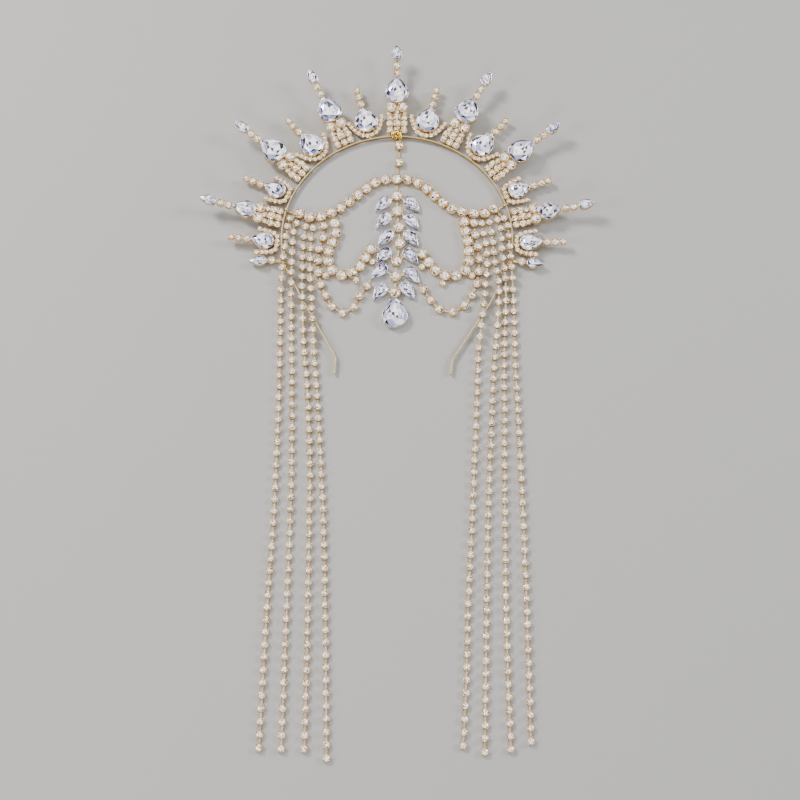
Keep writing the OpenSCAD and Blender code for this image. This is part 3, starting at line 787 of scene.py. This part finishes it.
def top_knot(metal):
    """The wire knot that ties the upper chain to the top of the strip."""
    centre = arch_middle()
    builder = Builder()
    draw = random.Random(KNOT_SEED)
    for k in range(KNOT_LOOPS):
        middle = math.radians(draw.uniform(*KNOT_PLACES))
        lean = math.radians(draw.uniform(*KNOT_LEANS))
        reach = draw.uniform(*KNOT_REACHES) * MM
        lift = draw.uniform(*KNOT_LIFTS) * MM
        path = []
        for t in ring_angles():
            r = ARCH_R + KNOT_OUT + reach * math.cos(t)
            a = middle + lean * math.cos(t)
            path.append(centre + Vector((r * math.sin(a), r * math.cos(a), lift * math.sin(t) + KNOT_UP)))
        add_ring(builder, path, KNOT_WIRE_R, KNOT_SIDES)
    builder.make("top_knot", metal, "gilt_settings", smooth=True)


def squared(value):
    """A sine or cosine bent so that the two together draw a rounded square."""
    return math.copysign(abs(value) ** WRAP_POWER, value)


def leg_wraps(metal):
    """Gold wire wound round the two sleeves that join the legs to the arch."""
    centre = arch_middle()
    builder = Builder()
    for side in (-1, 1):
        for k in range(WRAP_TURNS):
            angle = side * math.radians(ARCH_END + (k - (WRAP_TURNS - 1) / 2) * WRAP_STEP)
            way = Vector((math.sin(angle), math.cos(angle), 0))
            path = []
            for t in ring_angles():
                out = ARCH_R - WRAP_IN + WRAP_ACROSS * squared(math.cos(t))
                path.append(centre + way * out + UP * WRAP_HEIGHT * squared(math.sin(t)))
            add_ring(builder, path, WRAP_WIRE_R, WIRE_SIDES)
    builder.make("leg_wraps", metal, "gilt_settings", smooth=True)


def solder(metal):
    """A small bead of solder at the foot of each spike."""
    centre = arch_middle()
    builder = Builder()
    for name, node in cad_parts.items():
        if not name.startswith("spike_") or name.endswith("stones"):
            continue
        near = sorted((v.co for v in node.data.vertices), key=lambda co: (co - centre).xy.length)
        foot = sum(near[:FOOT_CORNERS], Vector()) / FOOT_CORNERS
        way = foot - centre
        way.z = 0
        way.normalize()
        place = centre + way * ARCH_R
        place.z = foot.z
        add_bead(builder, place, way * SOLDER_OUT, way.cross(UP) * SOLDER_ALONG, UP * SOLDER_UP)
    builder.make("solder", metal, "gilt_settings", smooth=True)


# Studio


def lay_floor():
    mesh = bpy.data.meshes.new("floor")
    size = FLOOR_HALF
    corners = [(-size, -size, 0), (size, -size, 0), (size, size, 0), (-size, size, 0)]
    mesh.from_pydata(corners, [], [(0, 1, 2, 3)])
    floor = bpy.data.objects.new("floor", mesh)
    floor.location.z = -FLOOR_DROP
    bpy.context.scene.collection.objects.link(floor)
    material, nodes, links, shader = new_material("floor")
    shader.inputs["Base Color"].default_value = FLOOR_COLOUR
    shader.inputs["Roughness"].default_value = FLOOR_ROUGHNESS
    mesh.materials.append(material)


def hang_light(name, place, width, height, power, colour):
    data = bpy.data.lights.new(name, "AREA")
    data.shape = "RECTANGLE"
    data.size, data.size_y = width, height
    data.energy = power
    data.color = colour
    light = bpy.data.objects.new(name, data)
    light.location = place
    light.rotation_euler = (Vector() - Vector(place)).to_track_quat("-Z", "Y").to_euler()
    bpy.context.scene.collection.objects.link(light)


def studio():
    """Pale floor, soft lights and the photograph's camera."""
    scene = bpy.context.scene
    lay_floor()
    for row in LIGHTS:
        hang_light(*row)

    world = bpy.data.worlds.new("studio")
    scene.world = world
    world.use_nodes = True
    sky = world.node_tree.nodes["Background"]
    sky.inputs["Color"].default_value = SKY_COLOUR
    sky.inputs["Strength"].default_value = SKY_STRENGTH

    camera = bpy.data.objects.new("camera", bpy.data.cameras.new("camera"))
    camera.data.lens = LENS
    camera.data.sensor_width = SENSOR
    camera.data.clip_start = CLIP_START
    camera.location = CAMERA_AT
    camera.rotation_euler = (CAMERA_TO - CAMERA_AT).to_track_quat("-Z", "Y").to_euler()
    scene.collection.objects.link(camera)
    scene.camera = camera


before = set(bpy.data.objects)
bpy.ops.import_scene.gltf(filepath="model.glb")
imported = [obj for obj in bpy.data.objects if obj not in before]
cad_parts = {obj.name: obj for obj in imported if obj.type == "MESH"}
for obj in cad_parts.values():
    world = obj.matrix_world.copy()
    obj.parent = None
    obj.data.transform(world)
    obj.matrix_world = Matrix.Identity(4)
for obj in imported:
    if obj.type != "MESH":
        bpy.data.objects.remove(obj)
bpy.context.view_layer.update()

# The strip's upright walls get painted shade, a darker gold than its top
strip_gilt = gilt("strip_gilt", bright=(1.0, 0.8, 0.42), worn=(0.94, 0.66, 0.28), rough=(0.2, 0.36),
                  painted_wall_shade=(0.5, 0.42, 0.3))
setting_gilt = gilt("setting_gilt", bright=(1.0, 0.8, 0.46), worn=(0.84, 0.56, 0.24))
chain_gilt = gilt("chain_gilt", bright=(1.0, 0.8, 0.46), worn=(0.8, 0.5, 0.2))
knot_gilt = gilt("knot_gilt", bright=(1.0, 0.7, 0.16), worn=(0.88, 0.52, 0.08))
column_gilt = column_metal("column_gilt", gold=(1.0, 0.8, 0.48), silver=(0.78, 0.76, 0.76),
                           rough=(0.15, 0.35))
silver_rim = gilt("silver_rim", bright=(0.88, 0.86, 0.9), worn=(0.5, 0.47, 0.5))
# Each crystal's dark, middle, light and white colours paint its facets' reflections, and its white also
# colours its painted glints
clear = crystal("clear_crystal", dark=(0.01, 0.01, 0.04), middle=(0.14, 0.14, 0.32),
                light=(0.62, 0.63, 0.93), white=WHITE, tint=(0.92, 0.9, 1))
grey = crystal("grey_crystal", dark=(0.02, 0.01, 0.05), middle=(0.11, 0.09, 0.19),
               light=(0.38, 0.35, 0.52), white=(0.9, 0.87, 0.98), tint=(0.86, 0.85, 0.95))
champagne = crystal("champagne_crystal", dark=(0.08, 0.04, 0.02), middle=(0.4, 0.24, 0.13),
                    light=(0.94, 0.71, 0.5), white=(1, 0.97, 0.9), tint=(1, 0.88, 0.84))
golden = crystal("golden_crystal", dark=(0.1, 0.05, 0.02), middle=(0.42, 0.23, 0.09),
                 light=(0.94, 0.64, 0.36), white=(1, 0.94, 0.8), tint=(1, 0.86, 0.76))

spikes = sorted(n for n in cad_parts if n.startswith("spike_") and not n.endswith("stones"))
teardrops = sorted(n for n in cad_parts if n.startswith("teardrop_"))
paint("headband", strip_gilt)
for node in spikes:
    paint(node, setting_gilt)
for node in CHAINS + STRANDS:
    paint(node, chain_gilt)
paint("centre_column", column_gilt)

draw = random.Random(STONE_SEED)
taken = dress_round("spike_round_stones", "champagne_crystal", champagne, setting_gilt, "gilt_settings",
                    draw)
for node in ("brow_stones", "cheek_stones", "swag_stones", "column_stones"):
    taken += dress_round(node, "champagne_crystal", champagne, chain_gilt, "gilt_chain", draw)
for node in teardrops + ["drop_stone", "spike_tip_stones"]:
    dress_pear(node, "clear_crystal", clear, silver_rim, draw)
for node in ("leaf_stones_left", "leaf_stones_right"):
    dress_pear(node, "grey_crystal", grey, silver_rim, draw)
dress_closed(spikes, "spike_small", taken, golden, setting_gilt, "gilt_settings", draw)
dress_closed(CHEEKS, "cheek_side", taken, champagne, chain_gilt, "gilt_chain", draw)
for node in STRANDS:
    dress_closed([node], node, taken, champagne, chain_gilt, "gilt_chain", draw)
top_knot(knot_gilt)
leg_wraps(knot_gilt)
solder(setting_gilt)
studio()
